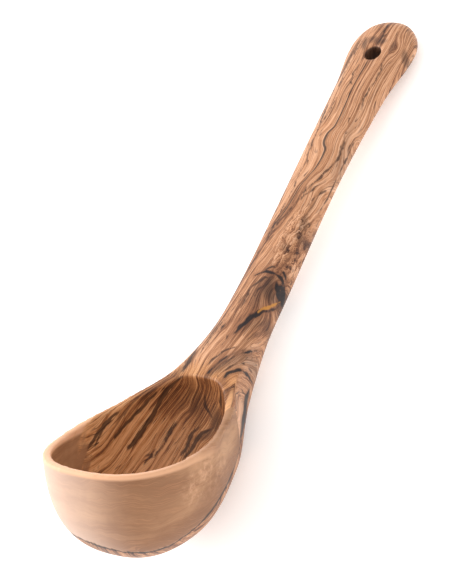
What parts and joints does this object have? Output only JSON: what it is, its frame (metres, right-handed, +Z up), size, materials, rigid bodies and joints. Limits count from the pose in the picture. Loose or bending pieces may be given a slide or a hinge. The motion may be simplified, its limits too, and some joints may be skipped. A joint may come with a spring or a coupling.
{
  "type": "wooden ladle",
  "caption": "One-piece carved olive-wood ladle with a deep round bowl and a rising handle that flares to a rounded end with a hanging hole.",
  "frame": {"origin": "Under the middle of the ladle's box, on the table it lies on.", "axes": "+X runs from the bowl towards the end of the handle, +Y is to the left seen from behind the bowl, +Z is up. The ladle lies on its back, touching the table with the back of its bowl and the underside of its handle."},
  "size_m": [0.2998, 0.0726, 0.0836],
  "materials": {
    "olive_wood": "satin, oiled, streaked light and dark grain"
  },
  "bodies": {
    "root": {"ladle": "olive_wood"}
  },
  "joints": []
}
